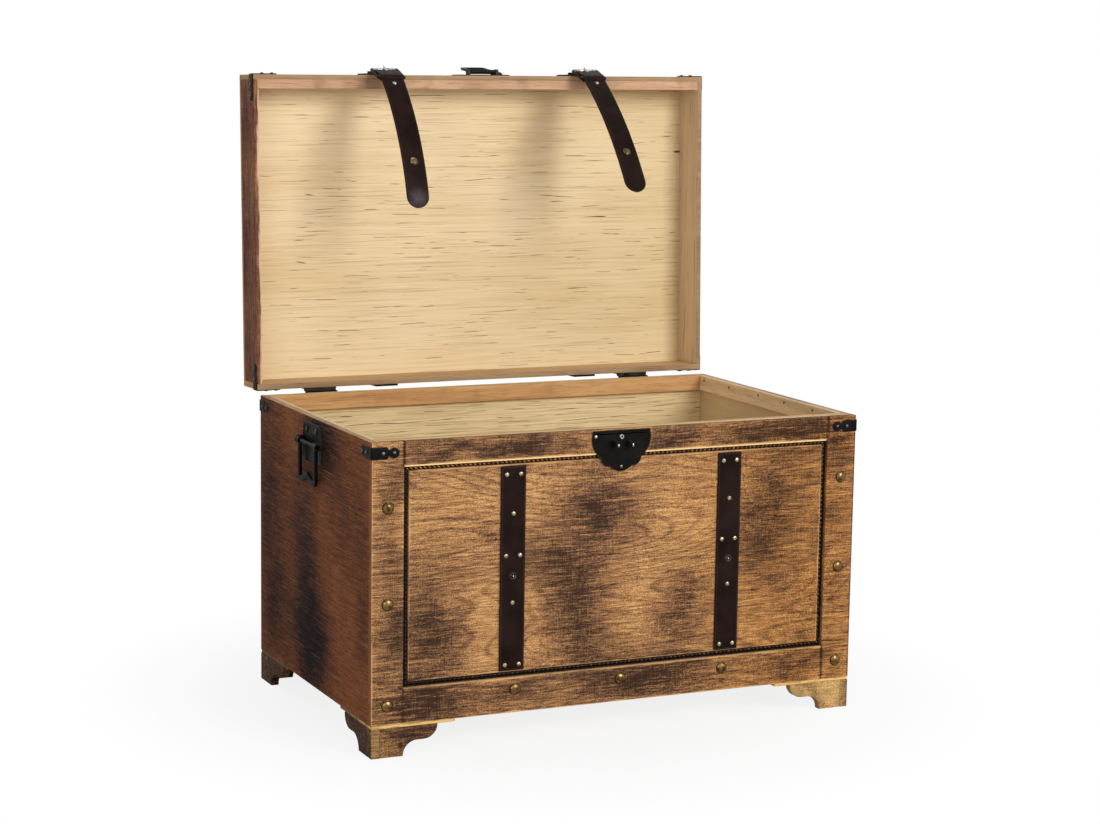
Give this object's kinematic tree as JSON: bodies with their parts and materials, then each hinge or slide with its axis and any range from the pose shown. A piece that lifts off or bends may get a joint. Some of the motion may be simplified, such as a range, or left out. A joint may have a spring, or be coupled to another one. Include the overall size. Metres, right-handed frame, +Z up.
{
  "type": "storage trunk",
  "caption": "Wooden storage trunk with an open hinged lid, bracket feet, leather straps with buckles, a hasp, brass dome nails and drop handles.",
  "frame": {"origin": "on the floor, under the middle of the trunk's box as it stands with its lid open", "axes": "+X to the right along the front, +Y from the front to the back, +Z up"},
  "size_m": [0.777, 0.5862, 0.9249],
  "materials": {
    "front_wood": "satin stained oak veneer with scorched marks",
    "bead_wood": "dark stained ribbed bead, worn to gold on its edges",
    "side_wood": "satin red-brown stained veneer",
    "pale_ply": "unfinished pale plywood",
    "batten_wood": "unfinished pine",
    "foot_wood": "satin stained veneer",
    "gold_trim": "pale gold painted edge",
    "lid_wood": "plywood, stained outside and bare inside",
    "leather": "dark brown leather, satin",
    "black_iron": "gloss black paint, worn",
    "brass": "aged brass"
  },
  "bodies": {
    "chest": {"side_panel_left": "side_wood", "side_panel_right": "side_wood", "back_panel": "pale_ply", "front_board": "front_wood", "bottom_board": "pale_ply", "rim_batten_front": "batten_wood", "rim_batten_back": "batten_wood", "rim_batten_left": "batten_wood", "rim_batten_right": "batten_wood", "stile_left": "front_wood", "stile_right": "front_wood", "top_rail": "front_wood", "bottom_rail": "front_wood", "front_field": "front_wood", "bead_bottom": "bead_wood", "bead_right": "bead_wood", "bead_top": "bead_wood", "bead_left": "bead_wood", "foot_front_left": "foot_wood", "foot_front_right": "foot_wood", "foot_rear_left": "foot_wood", "foot_rear_right": "foot_wood", "foot_plates": "gold_trim", "front_band_left": "leather", "front_band_right": "leather", "snap_studs": "brass", "dome_nails": "brass", "latch_plate": "black_iron", "latch_staples": "black_iron", "handle_plate_left": "black_iron", "handle_plate_right": "black_iron", "hinge_leaf_left": "black_iron", "hinge_leaf_right": "black_iron", "hinge_pins": "black_iron", "corner_bands": "black_iron", "chest_nails": "brass"},
    "lid": {"lid_hinge_leaf_left": "black_iron", "lid_hinge_leaf_right": "black_iron", "lid_panel": "lid_wood", "lid_front_wall": "lid_wood", "lid_back_wall": "lid_wood", "lid_left_wall": "lid_wood", "lid_right_wall": "lid_wood", "lid_front_batten": "batten_wood", "lid_strap_left": "leather", "lid_strap_right": "leather", "lid_latch_plate": "black_iron", "lid_corner_bands": "black_iron", "lid_nails": "brass", "hasp_pin": "black_iron"},
    "hasp": {"hasp": "black_iron"},
    "strap_left": {"tongue_left": "leather", "buckle_left": "black_iron", "tongue_studs_left": "brass"},
    "strap_right": {"tongue_right": "leather", "buckle_right": "black_iron", "tongue_studs_right": "brass"},
    "handle_left": {"handle_left": "black_iron"},
    "handle_right": {"handle_right": "black_iron"}
  },
  "joints": [
    {"name": "lid_hinge", "type": "hinge", "parent": "chest", "child": "lid", "pos_m": [0, 0.20117, 0.4322], "axis": [-1, 0, 0], "range_deg": [-92, 0]},
    {"name": "hasp_swing", "type": "hinge", "parent": "lid", "child": "hasp", "pos_m": [-0.005, 0.22736, 0.91568], "axis": [1, 0, 0], "range_deg": [0, 168]},
    {"name": "strap_left_hang", "type": "hinge", "parent": "lid", "child": "strap_left", "pos_m": [-0.168, 0.22445, 0.91838], "axis": [-1, 0, 0], "range_deg": [0, 60.76]},
    {"name": "strap_right_hang", "type": "hinge", "parent": "lid", "child": "strap_right", "pos_m": [0.168, 0.22445, 0.91838], "axis": [-1, 0, 0], "range_deg": [0, 49.26]},
    {"name": "handle_left_swing", "type": "hinge", "parent": "chest", "child": "handle_left", "pos_m": [-0.383, -0.04223, 0.399], "axis": [0, 1, 0], "range_deg": [0, 90]},
    {"name": "handle_right_swing", "type": "hinge", "parent": "chest", "child": "handle_right", "pos_m": [0.383, -0.04223, 0.399], "axis": [0, -1, 0], "range_deg": [0, 90]}
  ],
  "couplings": [
    {"joint": "strap_left_hang", "follows": "lid_hinge", "ratio": -0.655},
    {"joint": "strap_right_hang", "follows": "lid_hinge", "ratio": -0.53}
  ]
}
